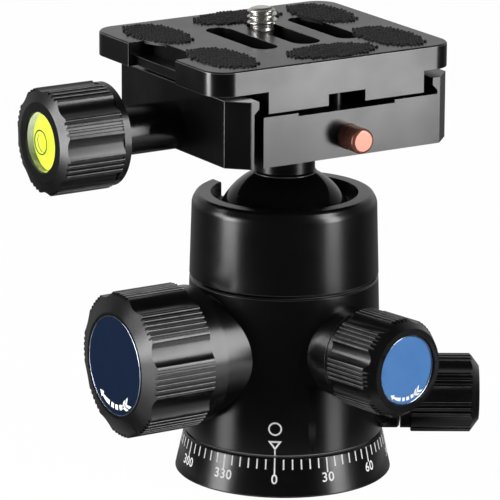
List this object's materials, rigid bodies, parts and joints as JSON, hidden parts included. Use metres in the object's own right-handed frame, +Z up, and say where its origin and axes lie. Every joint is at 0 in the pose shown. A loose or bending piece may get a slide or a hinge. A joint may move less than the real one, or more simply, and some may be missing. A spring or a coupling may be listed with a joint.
{
  "type": "tripod ball head",
  "caption": "Ball head for a camera tripod, with a locking ball in a notched housing on a panning base, three side knobs and a quick-release clamp that holds a slotted camera plate.",
  "frame": {"origin": "centre of the base's underside, at the mouth of the tripod socket", "axes": "+Z up along the head's axis, -Y the front with the friction knob and the safety button, -X towards the clamp knob and the ball lock knob"},
  "size_m": [0.0973, 0.0651, 0.0985],
  "materials": {
    "black_anodised": "black anodised, satin",
    "black_polished": "black anodised, polished",
    "steel": "machined",
    "black_steel": "black oxide",
    "brass": "machined",
    "slide_plastic": "moulded, low friction",
    "pad_rubber": "moulded with a fine grain",
    "navy_enamel": "satin enamel",
    "light_blue_enamel": "satin enamel",
    "red_anodised": "red anodised, satin",
    "clear_acrylic": "clear, polished",
    "vial_fluid": "bright yellow-green fluid"
  },
  "bodies": {
    "base": {"pan_base": "black_anodised", "tripod_thread_insert": "steel", "pan_thrust_washer": "slide_plastic", "pan_stop_washer": "steel", "pan_stop_screws": "steel"},
    "housing": {"housing_base": "black_anodised", "housing_collar": "black_anodised", "ball_seat_ring": "slide_plastic", "guide_block": "brass", "lock_bush": "brass", "friction_bush": "brass", "pan_bush": "brass", "wave_ring": "steel"},
    "lock wedge": {"lock_wedge": "steel"},
    "lock knob": {"ball_lock_knob": "black_anodised", "ball_lock_disc": "navy_enamel", "ball_lock_spindle": "steel", "lock_knob_screw": "steel"},
    "lower cup": {"lower_cup": "slide_plastic"},
    "friction wedge": {"friction_wedge": "steel"},
    "friction knob": {"friction_knob": "black_anodised", "friction_disc": "light_blue_enamel", "friction_spindle": "steel", "friction_knob_screw": "steel"},
    "friction shoe": {"friction_shoe": "slide_plastic"},
    "pan shoe": {"pan_brake_shoe": "slide_plastic"},
    "pan knob": {"pan_knob": "black_anodised", "pan_spindle": "steel", "pan_knob_pin": "steel"},
    "ball": {"ball": "black_polished"},
    "stem": {"ball_stem": "black_anodised"},
    "clamp": {"clamp_body": "black_anodised", "clamp_screw": "black_steel", "jaw_springs": "steel", "button_spring": "steel"},
    "jaw": {"moving_jaw": "black_anodised", "jaw_guide_pins": "steel"},
    "clamp knob": {"clamp_knob": "black_anodised", "clamp_spindle": "steel", "clamp_knob_pin": "steel", "level_vial": "clear_acrylic", "level_liquid": "vial_fluid"},
    "safety button": {"safety_button": "red_anodised"},
    "safety pin": {"safety_pin": "black_steel"},
    "plate": {"plate": "black_anodised", "corner_pads": "pad_rubber", "middle_pads": "pad_rubber"},
    "screw clip": {"screw_retaining_clip": "steel"},
    "camera screw": {"camera_screw": "steel"}
  },
  "joints": [
    {"name": "pan_turn", "type": "hinge", "parent": "base", "child": "housing", "pos_m": [0, 0, 0], "axis": [0, 0, 1], "continuous": true},
    {"name": "lock_wedge_slide", "type": "slide", "parent": "housing", "child": "lock wedge", "axis": [-1, 0, 0], "range_m": [0, 0.00075]},
    {"name": "lock_knob_turn", "type": "hinge", "parent": "lock wedge", "child": "lock knob", "pos_m": [-0.02245, 0, 0.02845], "axis": [-1, 0, 0], "range_deg": [0, 270.3]},
    {"name": "lower_cup_slide", "type": "slide", "parent": "housing", "child": "lower cup", "axis": [0, 0, 1], "range_m": [-0.00028, 0]},
    {"name": "friction_wedge_slide", "type": "slide", "parent": "housing", "child": "friction wedge", "axis": [0.1736, -0.9848, 0], "range_m": [0, 0.0008]},
    {"name": "friction_knob_turn", "type": "hinge", "parent": "friction wedge", "child": "friction knob", "pos_m": [0.00416, -0.02359, 0.0298], "axis": [0.1736, -0.9848, 0], "range_deg": [0, 360.4]},
    {"name": "friction_shoe_slide", "type": "slide", "parent": "housing", "child": "friction shoe", "axis": [0, 0, 1], "range_m": [-0.0003, 0]},
    {"name": "pan_shoe_slide", "type": "slide", "parent": "housing", "child": "pan shoe", "axis": [0.8508, -0.5255, 0], "range_m": [0, 0.0008]},
    {"name": "pan_knob_turn", "type": "hinge", "parent": "pan shoe", "child": "pan knob", "pos_m": [0.02127, -0.01314, 0.0165], "axis": [0.8508, -0.5255, 0], "range_deg": [0, 360.4]},
    {"name": "tilt_side", "type": "hinge", "parent": "housing", "child": "ball", "pos_m": [0, 0, 0.0515], "axis": [0, 1, 0], "range_deg": [-26, 26]},
    {"name": "tilt_drop", "type": "hinge", "parent": "ball", "child": "stem", "pos_m": [0, 0, 0.0515], "axis": [-1, 0, 0], "range_deg": [-26, 90]},
    {"name": "ball_spin", "type": "hinge", "parent": "stem", "child": "clamp", "pos_m": [0, 0, 0.0515], "axis": [0, 0, 1], "continuous": true},
    {"name": "jaw_slide", "type": "slide", "parent": "clamp", "child": "jaw", "axis": [-1, 0, 0], "range_m": [0, 0.003]},
    {"name": "clamp_knob_turn", "type": "hinge", "parent": "jaw", "child": "clamp knob", "pos_m": [-0.0434, 0, 0.0785], "axis": [-1, 0, 0], "range_deg": [0, 1081]},
    {"name": "safety_button_press", "type": "slide", "parent": "clamp", "child": "safety button", "axis": [0, 1, 0], "range_m": [0, 0.002], "stiffness_N_per_m": 300, "springref_m": -0.0008, "deforming": ["button_spring"]},
    {"name": "safety_pin_drop", "type": "slide", "parent": "clamp", "child": "safety pin", "axis": [0, 0, -1], "range_m": [0, 0.002]},
    {"name": "plate_slide", "type": "slide", "parent": "clamp", "child": "plate", "axis": [0, 1, 0], "range_m": [-0.004, 0.008]},
    {"name": "screw_shift", "type": "slide", "parent": "plate", "child": "screw clip", "axis": [0, 1, 0], "range_m": [-0.016, 0]},
    {"name": "camera_screw_turn", "type": "hinge", "parent": "screw clip", "child": "camera screw", "pos_m": [0.0002, 0.0097, 0.088], "axis": [0, 0, 1], "continuous": true}
  ],
  "couplings": [
    {"joint": "lock_knob_turn", "follows": "lock_wedge_slide", "rad_per_m": 6283.2},
    {"joint": "lower_cup_slide", "follows": "lock_wedge_slide", "ratio": -0.36397},
    {"joint": "friction_knob_turn", "follows": "friction_wedge_slide", "rad_per_m": 7854},
    {"joint": "friction_shoe_slide", "follows": "friction_wedge_slide", "ratio": -0.36397},
    {"joint": "pan_knob_turn", "follows": "pan_shoe_slide", "rad_per_m": 7854},
    {"joint": "clamp_knob_turn", "follows": "jaw_slide", "rad_per_m": 6283.2},
    {"joint": "safety_pin_drop", "follows": "safety_button_press", "ratio": 1}
  ]
}
